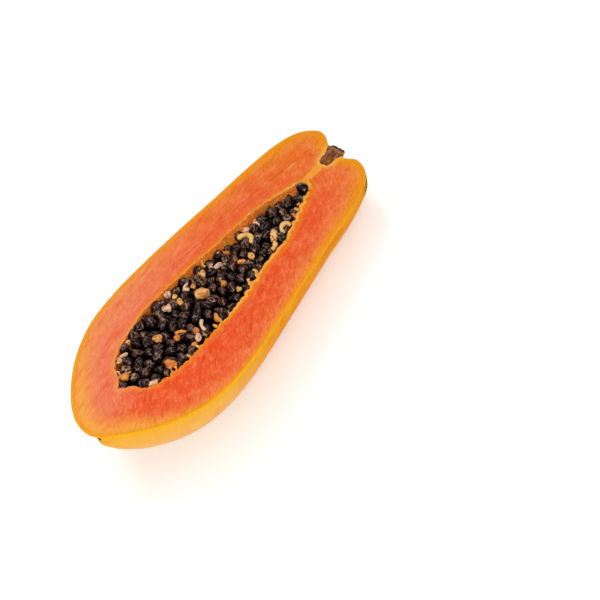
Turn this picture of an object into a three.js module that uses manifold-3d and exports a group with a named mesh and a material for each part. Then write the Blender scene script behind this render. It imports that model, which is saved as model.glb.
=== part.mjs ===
// Half of a ripe papaya, cut lengthwise and laid on its rounded back, with the seeds still in it.
// Millimetres. The origin is the middle of the small flat spot that the half rests on, +Z is up,
// and +X runs along the fruit towards its stem end.
//
// The shapes are written in the cut frame: the cut face is its plane z = 0, the blossom end is
// its origin, X runs along the fruit, Y towards its left side, and the rounded back is below.
// At rest the cut face slopes down a little towards the stem end.
import * as THREE from 'three';
import { mergeVertices } from 'three/addons/utils/BufferGeometryUtils.js';
import { ParametricGeometry } from 'three/addons/geometries/ParametricGeometry.js';
import Module from 'manifold-3d';

// How the half lies: the slope of its cut face, and the cut frame's point over which it rests.
const REST_SLOPE = THREE.MathUtils.degToRad(5.8);
const SPOT_X = 117;
const SPOT_Y = 3.9;
const SPOT_DEPTH = 43.9;

// The edge of the cut face, from the blossom end round each shoulder into the stem's hollow.
const LEFT_EDGE = [
  [0, 0], [-1, 7.5], [3.5, 18.5], [15.5, 30.3], [35.7, 42.4], [60, 50], [86, 51], [112, 48.8],
  [140, 45.3], [168, 41], [195, 37.3], [218, 33], [233.8, 26.6], [241.2, 16.6], [239.2, 9.8],
  [235.2, 6.3], [232.6, 3.6], [230.6, -1.2],
];
const RIGHT_EDGE = [
  [0, 0], [4.8, -7], [13.3, -16.8], [25.4, -27.6], [43.4, -37.7], [65, -42.3], [90, -42.7],
  [117, -40.4], [145, -37.8], [172, -35.5], [197, -33.9], [216, -30.8], [227, -24.2],
  [231.9, -16.4], [230.4, -10.8], [229.6, -8.2], [231.2, -5.6], [230.6, -1.2],
];
const BODY_STATIONS = 68;
const BODY_SIDES = 44;

// Five shallow lobes run along the back. They fade out towards the cut.
const LOBES = 5;
const LOBE_DEPTH = 0.018;

// At the blossom end the skin draws in under the cut on the left, by a share of the section's
// half width that falls once it is past a limit, and bulges on the right by up to a few
// millimetres. Both fade along the fruit.
const BLOSSOM_TUCK = 0.75;
const BLOSSOM_TUCK_LIMIT = 22;
const BLOSSOM_TUCK_FADES = [20, 80];
const BLOSSOM_BULGE = 3.5;
const BLOSSOM_BULGE_STARTS = 6;
const BLOSSOM_BULGE_FADES = [8, 50];

// The seed hollow: its rim on the cut face, on the left and on the right.
const HOLLOW_LEFT = [
  [31, 10.3], [36.5, 13.5], [43, 20.8], [53, 25], [67, 27.5], [83, 28.6], [101, 26.6],
  [120, 23.7], [140, 20], [160, 17.2], [178, 13.4], [191, 8], [199.5, 4.6], [203.2, 1.2],
];
const HOLLOW_RIGHT = [
  [31, 10.3], [36, 4.8], [41.5, -4.7], [53, -9.2], [67, -12], [83, -12.7], [101, -13.8],
  [120, -13.4], [140, -11.6], [160, -11.7], [178, -8.1], [191, -4.8], [200.5, -2.2], [203.2, 1.2],
];
const HOLLOW_STATIONS = 72;
const HOLLOW_SIDES = 16;
const HOLLOW_HALVINGS = 24;

// The hollow's wall is ragged: two waves of different length, as a share of its width.
const RAGGED = [{ depth: 0.022, waves: 23 }, { depth: 0.016, waves: 17 }];

// The heap of seeds fills the hollow, a little inside its wall.
const HEAP_INSET_LENGTH = 0.985;
const HEAP_INSET_WIDTH = 0.93;

// Seeds: half of their length, width and height, their spacing, and their draw. Where one lacks
// room it is pushed away from the others, by a share of what it lacks, in a few rounds. How far
// it leans is a share of half a turn.
const SEED_HALF = [3.6, 3.0, 2.8];
const SEED_SPACING = 6.8;
const SEED_ROOM = 7.2;
const SEED_SIZE_LEAST = 0.84;
const SEED_SIZE_SPREAD = 0.3;
const SEED_SHIFT = 2.4;
const SEED_HEIGHT_SHIFT = 2;
const SEED_LEAN_LEAST = 0.25;
const SEED_LEAN_SPREAD = 0.5;
const SEED_TO_WALL = 2.4;
const SEED_TO_TIP = 3.4;
const SEED_COLUMNS = 6;
const SEED_DRAW = 7;
const SETTLING_ROUNDS = 16;
const SEED_PUSH = 0.4;
const FIRM_PUSH = 0.7;
const RIM_STEPS = 90;

// A seed has 20 flat faces, made a little larger so that it keeps the round seed's bulk.
const SEED_FACET_SWELL = 1.12;

// The heap's top: how far the seeds' middles lie below the cut face, and how much deeper they
// lie along the left wall, as a share of the hollow's half width, near the blossom end and
// further on. Where the hollow narrows to less than the reach, the heap rises to the cut face.
// The core's top is a little below the seeds' middles.
const HEAP_LEVEL = -1.9;
const HEAP_LEVEL_REACH = 8;
const LEFT_DIP_BLOSSOM = 0.04;
const LEFT_DIP_STEM = 0.4;
const LEFT_DIP_GROWS = [95, 150];
const LEFT_DIP_STARTS = -0.3;
const CORE_DROP = 0.2;
const CORE_STEPS_ALONG = 22;
const CORE_STEPS_ACROSS = 6;

// Pale seeds that never filled: how far their undersides lie below the heap's top, and each
// one's place on the cut face, half length, half width and heading.
const PALE_SEED_SUNK = 0.8;
const PALE_SEEDS = [
  { x: 160, y: 13.9, length: 3.3, width: 1.9, heading: 1.9 },
  { x: 166.2, y: 11, length: 2.9, width: 1.9, heading: 0.9 },
  { x: 162, y: -4.3, length: 2.2, width: 1.8, heading: 0.3 },
  { x: 158.5, y: -6, length: 2, width: 1.5, heading: 1.2 },
  { x: 155.9, y: -8.8, length: 1.8, width: 1.5, heading: 0.5 },
  { x: 142, y: -2, length: 2.1, width: 1.8, heading: 1.4 },
  { x: 136, y: 0.6, length: 2.2, width: 1.6, heading: 2.6 },
  { x: 141, y: 15, length: 2.6, width: 1.2, heading: 2 },
  { x: 127, y: 15.6, length: 2.9, width: 1.2, heading: 0.5 },
  { x: 129.2, y: 12.8, length: 2.9, width: 1.2, heading: 3 },
  { x: 119.8, y: 16.2, length: 2.6, width: 1.8, heading: 0.7 },
  { x: 118.2, y: 0.8, length: 2.2, width: 1.7, heading: 0.9 },
  { x: 106.2, y: 6.8, length: 3.9, width: 2.8, heading: 2.4 },
  { x: 89.2, y: 18.5, length: 2.5, width: 2, heading: 2.3 },
  { x: 97.6, y: 24.2, length: 2, width: 1.7, heading: 0 },
  { x: 98.4, y: 19.8, length: 1.6, width: 1.3, heading: 0.4 },
  { x: 96.6, y: 15, length: 2.1, width: 1.5, heading: 0.9 },
  { x: 106, y: 17.6, length: 2.3, width: 1.1, heading: 2.2 },
  { x: 110, y: 15.3, length: 1.6, width: 1.3, heading: 0.2 },
  { x: 69, y: 10.8, length: 2.7, width: 2, heading: 2.3 },
  { x: 74.4, y: 1.7, length: 2, width: 1.7, heading: 0.8 },
  { x: 83.5, y: -5, length: 2, width: 1.8, heading: 1.7 },
  { x: 80, y: -8.4, length: 2.6, width: 1.7, heading: 0.6 },
  { x: 75.6, y: -9, length: 1.8, width: 1.3, heading: 2.8 },
  { x: 57.9, y: -5.5, length: 3.2, width: 2.5, heading: 2.4 },
  { x: 44, y: -4, length: 2.2, width: 1.2, heading: 2.6 },
  { x: 51.5, y: 21, length: 2.2, width: 1.1, heading: 2.6 },
  { x: 47.3, y: 20.5, length: 2.1, width: 1.2, heading: 2.9 },
  { x: 40.6, y: 15.6, length: 2.4, width: 1, heading: 1.5 },
  { x: 39.2, y: 11.2, length: 2.2, width: 1.6, heading: 2.3 },
  { x: 119.3, y: -9, length: 1.8, width: 1.4, heading: 0.5 },
  { x: 96, y: -9.6, length: 2, width: 1.6, heading: 1.1 },
  { x: 59.9, y: 24.4, length: 1.4, width: 1.3, heading: 0 },
];

// The stem's stub, cut in half with the fruit: where it starts and which way it points, its
// profile as radius and distance out, and how far its cut side stands above the cut face.
const STUB_BASE = [220.2, -0.3];
const STUB_HEADING = THREE.MathUtils.degToRad(-5);
const STUB_PROFILE = [
  [0, 0], [2.5, 0.2], [3.5, 2.4], [3.7, 5.8], [4.4, 8.8], [5.4, 11.4], [5.3, 13.2], [3.7, 14.7], [0, 14.4],
];
const STUB_SIDES = 16;
const STUB_KNOBS = 5;
const STUB_KNOB_DEPTH = 0.07;
const STUB_KNOB_TURN = 1 / 3;
const STUB_PROUD = 0.5;
const GAP = 0.35;

const ROOM = 320;
const FLESH = 0xec6a32;
const SEED = 0x2b1d1a;
const BARK = 0x85552f;

const wasm = await Module();
wasm.setup();

// The same numbers in every run, between 0 and 1.
function seededRandom(seed) {
  let state = seed;
  return () => {
    state = (state * 1664525 + 1013904223) % 4294967296;
    return state / 4294967296;
  };
}

const smooth = (value, low, high) => THREE.MathUtils.smoothstep(value, low, high);

function edgeCurve(points) {
  return new THREE.SplineCurve(points.map(([x, y]) => new THREE.Vector2(x, y)));
}

// Takes a shape from the cut frame to where it lies at rest.
const restPose = new THREE.Matrix4()
  .makeRotationY(REST_SLOPE)
  .multiply(new THREE.Matrix4().makeTranslation(-SPOT_X, -SPOT_Y, SPOT_DEPTH));

// A closed geometry as a solid, with shared corners merged and the poles' empty triangles left out.
function solidFrom(geometry) {
  geometry.deleteAttribute('normal');
  geometry.deleteAttribute('uv');
  const merged = mergeVertices(geometry, 1e-5);
  const index = merged.index.array;
  const triangles = [];
  for (let i = 0; i < index.length; i += 3) {
    const [a, b, c] = [index[i], index[i + 1], index[i + 2]];
    if (a !== b && b !== c && c !== a) triangles.push(a, b, c);
  }
  return new wasm.Manifold(new wasm.Mesh({
    numProp: 3,
    vertProperties: new Float32Array(merged.attributes.position.array),
    triVerts: new Uint32Array(triangles),
  }));
}

function laidDown(geometry) {
  return solidFrom(geometry.applyMatrix4(restPose));
}

// The largest of a solid's surfaces, so that a pocket sealed between seeds is filled and a loose
// scrap is left out.
function mainBody(solid) {
  return solid.decompose().reduce((main, piece) => (piece.volume() > main.volume() ? piece : main));
}

function meshOf(name, solid, color, roughness) {
  const { vertProperties, triVerts } = solid.getMesh();
  const geometry = new THREE.BufferGeometry();
  geometry.setAttribute('position', new THREE.BufferAttribute(vertProperties, 3));
  geometry.setIndex(new THREE.BufferAttribute(triVerts, 1));
  geometry.computeVertexNormals();
  const material = new THREE.MeshStandardMaterial({ color, roughness, metalness: 0, flatShading: true });
  const mesh = new THREE.Mesh(geometry, material);
  mesh.name = name;
  return mesh;
}

// A body between two edges, round in every section: a section's middle is halfway between the
// edges, relief(angle, along) makes it larger or smaller, and drawIn(angle, x, half) moves its
// points along the fruit.
function roundBetween(leftPoints, rightPoints, stations, sides, relief, drawIn = notDrawnIn) {
  const left = edgeCurve(leftPoints);
  const right = edgeCurve(rightPoints);
  return new ParametricGeometry((around, along, target) => {
    const a = left.getPoint(along);
    const b = right.getPoint(along);
    const half = a.clone().sub(b).multiplyScalar(0.5);
    const middle = a.clone().add(b).multiplyScalar(0.5);
    const angle = 2 * Math.PI * around;
    const swell = relief(angle, along);
    target.set(
      middle.x + half.x * Math.cos(angle) * swell + drawIn(angle, middle.x, half.length()),
      middle.y + half.y * Math.cos(angle) * swell,
      half.length() * Math.sin(angle) * swell,
    );
  }, sides, stations);
}

function lobes(angle) {
  return 1 + LOBE_DEPTH * Math.abs(Math.sin(angle)) * Math.cos(LOBES * angle);
}

// How far a point of the skin is drawn in along the fruit, round the blossom end.
function drawnIn(angle, x, half) {
  const left = ((1 + Math.cos(angle)) / 2) ** 2;
  const right = (1 - Math.cos(angle)) / 2;
  const tuck = BLOSSOM_TUCK * half / (1 + (half / BLOSSOM_TUCK_LIMIT) ** 3)
    * (1 - smooth(x, ...BLOSSOM_TUCK_FADES));
  const bulge = BLOSSOM_BULGE * smooth(half, 0, BLOSSOM_BULGE_STARTS)
    * (1 - smooth(x, ...BLOSSOM_BULGE_FADES));
  return Math.abs(Math.sin(angle)) * (left * tuck - right * bulge);
}

function notDrawnIn() {
  return 0;
}

function ragged(angle, along) {
  return RAGGED.reduce((sum, { depth, waves }) => (
    sum + depth * Math.sin(2 * Math.PI * waves * along + angle)
  ), 1);
}

function smoothWall() {
  return 1;
}

// A block that fills everything above a height of the cut frame.
function above(height) {
  return laidDown(new THREE.BoxGeometry(2 * ROOM, ROOM, ROOM).translate(0, 0, ROOM / 2 + height));
}

// The heap's space: the hollow made smaller about its own middle.
function heapSpace() {
  const middle = hollowAt(SPOT_X).middle;
  return roundBetween(HOLLOW_LEFT, HOLLOW_RIGHT, HOLLOW_STATIONS / 2, HOLLOW_SIDES, smoothWall)
    .translate(-SPOT_X, -middle, 0)
    .scale(HEAP_INSET_LENGTH, HEAP_INSET_WIDTH, HEAP_INSET_WIDTH)
    .translate(SPOT_X, middle, 0);
}

const hollowLeft = edgeCurve(HOLLOW_LEFT);
const hollowRight = edgeCurve(HOLLOW_RIGHT);

// The hollow's middle and half width at a distance along the fruit.
function hollowAt(x) {
  let low = 0;
  let high = 1;
  for (let step = 0; step < HOLLOW_HALVINGS; step += 1) {
    const along = (low + high) / 2;
    if ((hollowLeft.getPoint(along).x + hollowRight.getPoint(along).x) / 2 < x) low = along;
    else high = along;
  }
  const left = hollowLeft.getPoint(low).y;
  const right = hollowRight.getPoint(low).y;
  return { middle: (left + right) / 2, half: Math.max((left - right) / 2, 0.01) };
}

// The height of the seeds' middles at a place on the cut face.
function heapHeight(x, y) {
  const { middle, half } = hollowAt(x);
  const share = THREE.MathUtils.lerp(LEFT_DIP_BLOSSOM, LEFT_DIP_STEM, smooth(x, ...LEFT_DIP_GROWS));
  const dip = share * half * smooth((y - middle) / half, LEFT_DIP_STARTS, 1);
  return HEAP_LEVEL * smooth(half, 0, HEAP_LEVEL_REACH) - dip;
}

// A first place for every seed: rows across the hollow, each place shifted by a random draw.
function scatteredPlaces(random) {
  const rowStep = SEED_SPACING * Math.sqrt(3) / 2;
  const [start, end] = [HOLLOW_LEFT[0][0], HOLLOW_LEFT.at(-1)[0]];
  const rows = Math.floor((end - start) / rowStep);
  const places = [];
  for (let row = 0; row <= rows; row += 1) {
    for (let column = -SEED_COLUMNS; column <= SEED_COLUMNS; column += 1) {
      const x = start + row * rowStep + (2 * random() - 1) * SEED_SHIFT;
      const y = (column + (row % 2) / 2) * SEED_SPACING + (2 * random() - 1) * SEED_SHIFT;
      const { middle, half } = hollowAt(x);
      if (Math.abs(y - middle) < half - SEED_TO_WALL / 2) places.push({ x, y });
    }
  }
  return places;
}

// Moves the seeds apart where they crowd each other or a pale seed, and back from the rim.
function settle(places) {
  const [start, end] = [HOLLOW_LEFT[0][0], HOLLOW_LEFT.at(-1)[0]];
  const pale = PALE_SEEDS.map(({ x, y, width }) => ({ x, y, room: SEED_SPACING / 2 + width }));
  const rim = [...hollowLeft.getPoints(RIM_STEPS), ...hollowRight.getPoints(RIM_STEPS)]
    .map(({ x, y }) => ({ x, y, room: SEED_TO_WALL }));
  const fixed = [...pale, ...rim];
  for (let round = 0; round < SETTLING_ROUNDS; round += 1) {
    const moves = places.map(({ x, y }, i) => {
      const move = { x: 0, y: 0 };
      const push = (other, room, share) => {
        const distance = Math.hypot(x - other.x, y - other.y);
        if (distance > 0 && distance < room) {
          move.x += (x - other.x) / distance * (room - distance) * share;
          move.y += (y - other.y) / distance * (room - distance) * share;
        }
      };
      places.forEach((other, j) => { if (j !== i) push(other, SEED_ROOM, SEED_PUSH); });
      fixed.forEach((other) => push(other, other.room, FIRM_PUSH));
      return move;
    });
    places.forEach((place, i) => {
      place.x = THREE.MathUtils.clamp(place.x + moves[i].x, start + SEED_TO_TIP, end - SEED_TO_TIP);
      const { middle, half } = hollowAt(place.x);
      const reach = Math.max(half - SEED_TO_WALL, 0);
      place.y = THREE.MathUtils.clamp(place.y + moves[i].y, middle - reach, middle + reach);
    });
  }
  return places;
}

function ovoid(halves, x, y, z, turn, lean, spin) {
  const [length, width, height] = halves;
  const geometry = new THREE.IcosahedronGeometry(SEED_FACET_SWELL).scale(width, height, length);
  const pose = new THREE.Matrix4().makeTranslation(x, y, z)
    .multiply(new THREE.Matrix4().makeRotationZ(turn))
    .multiply(new THREE.Matrix4().makeRotationY(lean))
    .multiply(new THREE.Matrix4().makeRotationZ(spin));
  return laidDown(geometry.applyMatrix4(pose));
}

function darkSeeds() {
  const random = seededRandom(SEED_DRAW);
  return settle(scatteredPlaces(random)).map(({ x, y }) => {
    const z = heapHeight(x, y) + (2 * random() - 1) * SEED_HEIGHT_SHIFT;
    const size = SEED_SIZE_LEAST + SEED_SIZE_SPREAD * random();
    const turn = 2 * Math.PI * random();
    const lean = Math.PI * (SEED_LEAN_LEAST + SEED_LEAN_SPREAD * random());
    const spin = 2 * Math.PI * random();
    return ovoid(SEED_HALF.map((half) => half * size), x, y, z, turn, lean, spin);
  });
}

function paleSeeds() {
  return PALE_SEEDS.map(({ x, y, length, width, heading }) => {
    const z = heapHeight(x, y) + width - PALE_SEED_SUNK;
    return ovoid([length, width, width], x, y, z, heading, Math.PI / 2, 0);
  });
}

// Everything over the core: a block whose underside follows the heap's top.
function overTheCore() {
  const [start, end] = [HOLLOW_LEFT[0][0], HOLLOW_LEFT.at(-1)[0]];
  const width = 3 * Math.max(...HOLLOW_LEFT.map((point) => point[1]));
  const block = new THREE.BoxGeometry(end - start, width, width, CORE_STEPS_ALONG, CORE_STEPS_ACROSS, 1);
  block.translate((start + end) / 2, SPOT_Y, width / 2);
  const corners = block.attributes.position;
  for (let i = 0; i < corners.count; i += 1) {
    const [x, y] = [corners.getX(i), corners.getY(i)];
    if (corners.getZ(i) < width / 2) corners.setZ(i, heapHeight(x, y) - CORE_DROP);
  }
  return laidDown(block);
}

function seedMass() {
  const space = laidDown(heapSpace());
  const core = space.subtract(overTheCore());
  const heap = [...darkSeeds(), ...paleSeeds()].reduce((sum, seed) => sum.add(seed), core);
  return mainBody(heap.intersect(space));
}

// The stub, knobbly with dried bark. grow makes it larger all round, for the seat it fills.
function stub(grow) {
  const profile = STUB_PROFILE.map(([radius, out], i) => (
    new THREE.Vector2(radius === 0 ? 0 : radius + grow, out + (i < 2 ? -grow : grow))
  ));
  const geometry = new THREE.LatheGeometry(profile, STUB_SIDES);
  const corners = geometry.attributes.position;
  for (let i = 0; i < corners.count; i += 1) {
    const angle = Math.atan2(corners.getZ(i), corners.getX(i));
    const swell = 1 + STUB_KNOB_DEPTH * Math.cos(STUB_KNOBS * angle + STUB_KNOB_TURN * corners.getY(i));
    corners.setX(i, corners.getX(i) * swell);
    corners.setZ(i, corners.getZ(i) * swell);
  }
  return geometry.rotateZ(STUB_HEADING - Math.PI / 2).translate(...STUB_BASE, 0);
}

function stemStub() {
  return laidDown(stub(0)).subtract(above(STUB_PROUD));
}

function fruitHalf() {
  const whole = laidDown(roundBetween(LEFT_EDGE, RIGHT_EDGE, BODY_STATIONS, BODY_SIDES, lobes, drawnIn));
  const hollow = laidDown(roundBetween(HOLLOW_LEFT, HOLLOW_RIGHT, HOLLOW_STATIONS, HOLLOW_SIDES, ragged));
  const belowRest = solidFrom(new THREE.BoxGeometry(2 * ROOM, ROOM, ROOM).translate(0, 0, -ROOM / 2));
  return whole.subtract(above(0)).subtract(hollow).subtract(laidDown(stub(GAP))).subtract(belowRest);
}

const papaya = new THREE.Group();
papaya.add(
  meshOf('fruit_half', fruitHalf(), FLESH, 0.45),
  meshOf('seed_mass', seedMass(), SEED, 0.35),
  meshOf('stem_stub', stemStub(), BARK, 0.85),
);

export default papaya;
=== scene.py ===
import bmesh
import bpy
import numpy as np
from mathutils import Matrix, Vector
from numpy.linalg import norm


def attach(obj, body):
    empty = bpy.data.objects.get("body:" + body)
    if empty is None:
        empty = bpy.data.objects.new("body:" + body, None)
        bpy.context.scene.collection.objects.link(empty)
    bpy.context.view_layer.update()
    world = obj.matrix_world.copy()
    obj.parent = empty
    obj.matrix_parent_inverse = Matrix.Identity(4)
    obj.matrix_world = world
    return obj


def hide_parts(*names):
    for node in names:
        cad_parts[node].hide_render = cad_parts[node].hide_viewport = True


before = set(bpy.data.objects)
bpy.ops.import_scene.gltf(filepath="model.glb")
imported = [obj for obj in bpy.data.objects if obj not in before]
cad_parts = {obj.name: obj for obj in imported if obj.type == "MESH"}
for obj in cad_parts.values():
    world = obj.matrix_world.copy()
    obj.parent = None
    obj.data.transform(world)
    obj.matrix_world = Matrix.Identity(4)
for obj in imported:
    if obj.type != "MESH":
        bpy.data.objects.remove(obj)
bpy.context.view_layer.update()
scene = bpy.context.scene

MM = 0.001

# How the half lies, as in the part's source.
REST_SLOPE = np.radians(5.8)
SPOT = Vector((117.0, 3.9, -43.9))
REST_POSE = Matrix.Rotation(REST_SLOPE, 4, "Y") @ Matrix.Translation(-SPOT)

# The edge of the cut face, and the rim of the hollow, on the left and on the right.
LEFT_EDGE = [
    (0, 0), (-1, 7.5), (3.5, 18.5), (15.5, 30.3), (35.7, 42.4), (60, 50), (86, 51), (112, 48.8),
    (140, 45.3), (168, 41), (195, 37.3), (218, 33), (233.8, 26.6), (241.2, 16.6), (239.2, 9.8),
    (235.2, 6.3), (232.6, 3.6), (230.6, -1.2),
]
RIGHT_EDGE = [
    (0, 0), (4.8, -7), (13.3, -16.8), (25.4, -27.6), (43.4, -37.7), (65, -42.3), (90, -42.7),
    (117, -40.4), (145, -37.8), (172, -35.5), (197, -33.9), (216, -30.8), (227, -24.2),
    (231.9, -16.4), (230.4, -10.8), (229.6, -8.2), (231.2, -5.6), (230.6, -1.2),
]
HOLLOW_LEFT = [
    (31, 10.3), (36.5, 13.5), (43, 20.8), (53, 25), (67, 27.5), (83, 28.6), (101, 26.6),
    (120, 23.7), (140, 20), (160, 17.2), (178, 13.4), (191, 8), (199.5, 4.6), (203.2, 1.2),
]
HOLLOW_RIGHT = [
    (31, 10.3), (36, 4.8), (41.5, -4.7), (53, -9.2), (67, -12), (83, -12.7), (101, -13.8),
    (120, -13.4), (140, -11.6), (160, -11.7), (178, -8.1), (191, -4.8), (200.5, -2.2), (203.2, 1.2),
]
LOBES = 5
LOBE_DEPTH = 0.018
BLOSSOM_TUCK = 0.75
BLOSSOM_TUCK_LIMIT = 22
BLOSSOM_TUCK_FADES = (20, 80)
BLOSSOM_BULGE = 3.5
BLOSSOM_BULGE_STARTS = 6
BLOSSOM_BULGE_FADES = (8, 50)

# Mesh steps: along each side, across the cut face, round the back and round the hollow's wall.
# Then the points of a fine curve.
STATIONS = 420
FACE_ROWS = 50
SKIN_ROWS = 62
WALL_ROWS = 56
FINE_CURVE = 4001

# The cut edge's rounding and the rim's lip.
EDGE_ROUND = 0.45
LIP_HEIGHT = 0.24
LIP_WIDTH = 0.9

# Relief, each as its height, the size of its features and its draw. The rim's raggedness has no
# draw, as each side has its own, with how strongly it is torn.
KNIFE_WAVE = (0.16, 16, 31)
GRAIN = (0.07, 1.7, 32)
FACE_STREAKS = (0.13, 1.7, 35)
LIP_UNEVENNESS = (0.5, 6, 33)
PAPILLAE = [(0.192, 1.9, 41), (0.128, 1.1, 42)]
BED_RELIEF = (0.6, 4, 91)
BARK_RELIEF = [(0.14, 2.2, 95), (0.14, 2.2, 96)]
STUB_CUT_RELIEF = (0.3, 2.4, 97)
RAGGED_LONG = (0.42, 5.0)
RAGGED_SHORT = (0.16, 1.9)
LEFT_TEAR = (51, 0.6)
RIGHT_TEAR = (61, 1.2)
RELIEF_WAVES = 16

# Seeds: half length, width and height, spacing and draw, as in the part's source.
SEED_HALF = np.array([3.6, 3.0, 2.8])
SEED_SPACING = 6.8
SEED_ROOM = 7.2
SEED_SIZE_LEAST = 0.84
SEED_SIZE_SPREAD = 0.3
SEED_SHIFT = 2.4
SEED_HEIGHT_SHIFT = 2
SEED_TO_WALL = 2.4
SEED_TO_TIP = 3.4
SEED_COLUMNS = 6
SEED_DRAW = 7
SETTLING_ROUNDS = 16
SEED_PUSH = 0.4
FIRM_PUSH = 0.7
RIM_STEPS = 90
PALE_SEED_SUNK = 0.8
PALE_SEED_RAISED = 1.2
HEAP_LEVEL = -1.9
HEAP_LEVEL_REACH = 8
LEFT_DIP_BLOSSOM = 0.04
LEFT_DIP_STEM = 0.4
LEFT_DIP_GROWS = (95, 150)
LEFT_DIP_STARTS = -0.3

# Seeds further down, dimmed as painted shade, and under them a dark bed of painted shade.
LOWER_DRAW = 23
LOWER_LAYER = -5.2
LOWER_SHADE_FACTOR = 0.3
BED_LAYER = -7.2
LOWER_HALF_WIDTH_LEAST = 6
BED_ROWS, BED_COLUMNS = 180, 40
BED_END_GAP = 1.5
BED_SHARE = 0.93
BED_STEEPNESS = 0.5

# Wrinkles: how many to a radius, how deep as a share of it, how they stretch along the seed, and
# how deep the seed's broad lumps are. Then each group's mesh: sides, rings, draw and wrinkles.
SEED_WRINKLES = (6.8, 0.17, 0.5, 0.05)
TOP_MAKE = (40, 20, 71, SEED_WRINKLES)
LOWER_MAKE = (22, 11, 73, SEED_WRINKLES)
PALE_MAKE = (28, 16, 81, (3.0, 0.3, 0.8, 0.16))
SCAR_MAKE = (24, 12, 99, (4, 0.3, 1, 0.05))
RIDGE_LEVEL = 0.55
EGG_TAPER = 0.1

# Pale seeds that never filled: x and y, half length, half width, heading and how yellow.
PALE_SEEDS = [
    (160, 13.9, 3.3, 1.9, 1.9, 0.1), (166.2, 11, 2.9, 1.9, 0.9, 0.15),
    (162, -4.3, 2.2, 1.8, 0.3, 0.5), (158.5, -6, 2, 1.5, 1.2, 0.45),
    (155.9, -8.8, 1.8, 1.5, 0.5, 0.5), (142, -2, 2.1, 1.8, 1.4, 0.7),
    (136, 0.6, 2.2, 1.6, 2.6, 0.85), (141, 15, 2.6, 1.2, 2, 1), (127, 15.6, 2.9, 1.2, 0.5, 0.1),
    (129.2, 12.8, 2.9, 1.2, 3, 0), (119.8, 16.2, 2.6, 1.8, 0.7, 0.4),
    (118.2, 0.8, 2.2, 1.7, 0.9, 0.9), (106.2, 6.8, 3.9, 2.8, 2.4, 0.6),
    (89.2, 18.5, 2.5, 2, 2.3, 0.05), (97.6, 24.2, 2, 1.7, 0, 0), (98.4, 19.8, 1.6, 1.3, 0.4, 0.6),
    (96.6, 15, 2.1, 1.5, 0.9, 0.7), (106, 17.6, 2.3, 1.1, 2.2, 0.1),
    (110, 15.3, 1.6, 1.3, 0.2, 0.7), (69, 10.8, 2.7, 2, 2.3, 0.8), (74.4, 1.7, 2, 1.7, 0.8, 1),
    (83.5, -5, 2, 1.8, 1.7, 0.95), (80, -8.4, 2.6, 1.7, 0.6, 0.05), (75.6, -9, 1.8, 1.3, 2.8, 1),
    (57.9, -5.5, 3.2, 2.5, 2.4, 1), (44, -4, 2.2, 1.2, 2.6, 0.2), (51.5, 21, 2.2, 1.1, 2.6, 0.1),
    (47.3, 20.5, 2.1, 1.2, 2.9, 0.1), (40.6, 15.6, 2.4, 1, 1.5, 0.15),
    (39.2, 11.2, 2.2, 1.6, 2.3, 0.9), (119.3, -9, 1.8, 1.4, 0.5, 0.6), (96, -9.6, 2, 1.6, 1.1, 1),
    (59.9, 24.4, 1.4, 1.3, 0, 0.4),
]

# Threads that held the seeds: x, y and height over the heap along each one, then its radius
# and how orange it is.
THREADS = [
    ([(151.8, 14.1, 2.6), (154.5, 12.9, 3.3), (155.7, 9.5, 3.4), (153.7, 5.6, 3.1),
      (150.2, 3.6, 2.4)], 1.55, 0.5),
    ([(164.7, -9.4, 1.8), (166.2, -6.6, 2.8), (169, -5.6, 3.1), (171.6, -7, 2.8),
      (171.4, -9.4, 2)], 1.3, 0.4),
    ([(163.8, -2.4, 2.2), (161.6, -4.8, 2.8), (159.6, -7.4, 2.4)], 1.3, 0.4),
    ([(157.2, -8.4, 2.2), (154.6, -9.8, 2.4), (151.5, -9.6, 1.8)], 1.2, 0.5),
    ([(134.5, -8.4, 2.2), (133.2, -10.4, 2.4), (131.2, -12.6, 1.4)], 0.95, 0.6),
    ([(127.5, -9.4, 2), (126, -11.2, 2.2), (124.4, -13, 1.2)], 0.9, 0.7),
    ([(91.4, -3.2, 2.4), (87.6, -5.6, 3), (85.6, -9, 2.7), (83.2, -12, 1.4)], 1.05, 0.15),
    ([(53.5, 24, 1.6), (55.6, 25.6, 1.2), (58.2, 26.4, 0.6)], 0.8, 0.55),
    ([(38, 14.5, 1.6), (40.5, 12, 2.6), (44, 11, 1.8)], 1, 0.95),
    ([(126, 21.5, 0.2), (123, 20, 1.4), (119, 18.5, 1.8)], 1, 0.9),
    ([(61, -9, 1.6), (58, -7, 2.6), (54.5, -6.5, 1.8)], 1.1, 0.95),
    ([(112, 21.5, 0.8), (110, 19.8, 1.8), (106, 19.5, 1.6)], 0.8, 0.1),
    ([(76, 4, 2.4), (78.5, 2.5, 2.8), (80.5, -0.5, 2.2)], 0.9, 0.95),
    ([(96, -12.6, 1.2), (96.6, -9.6, 2.6), (98.4, -7.4, 2)], 1.2, 0.9),
    ([(45.5, -5.8, 0.6), (43, -3.6, 1.6), (40.4, -2.2, 1.2)], 1.1, 0.2),
]

# Shreds of orange pulp along the rim, where the hollow is wide enough.
SHREDS = 26
SHRED_DRAW = 17
SHREDS_ON_RIGHT = 0.72
SHRED_START = (0.06, 0.88)
SHRED_LENGTH = (1.8, 4.2)
SHRED_LEAN = (-1.6, 1.6)
SHRED_RADIUS = (0.4, 1.0)
SHRED_TINT = (0.55, 1.0)
SHRED_HALF_WIDTH_LEAST = 5
THREAD_SIDES = 10
THREAD_STEPS = 22

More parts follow.
